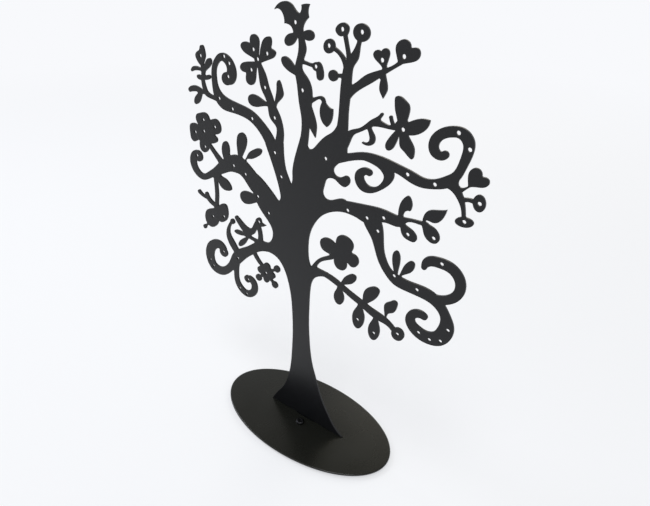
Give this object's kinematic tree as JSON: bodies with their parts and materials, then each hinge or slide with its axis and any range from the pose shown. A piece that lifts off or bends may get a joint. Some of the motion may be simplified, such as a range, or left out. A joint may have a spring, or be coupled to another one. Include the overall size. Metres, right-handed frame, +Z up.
{
  "type": "earring holder",
  "caption": "Flat laser-cut metal jewellery tree with curled limbs, leaves, flowers and pierced earring holes, standing on an oval base plate.",
  "frame": {"origin": "on the table, under the centre of the oval base", "axes": "+X along the base and the tree's sheet, +Y away from the front face, +Z up"},
  "size_m": [0.189, 0.069, 0.2668],
  "materials": {
    "tree_powder_coat": "matt black powder coat on steel sheet",
    "base_powder_coat": "satin black powder coat on steel plate",
    "screw_steel": "black-oxide steel",
    "mat_foam": "closed-cell foam sheet"
  },
  "bodies": {
    "root": {"tree_panel": "tree_powder_coat", "base_plate": "base_powder_coat", "foot_screw": "screw_steel", "base_mat": "mat_foam"}
  },
  "joints": []
}
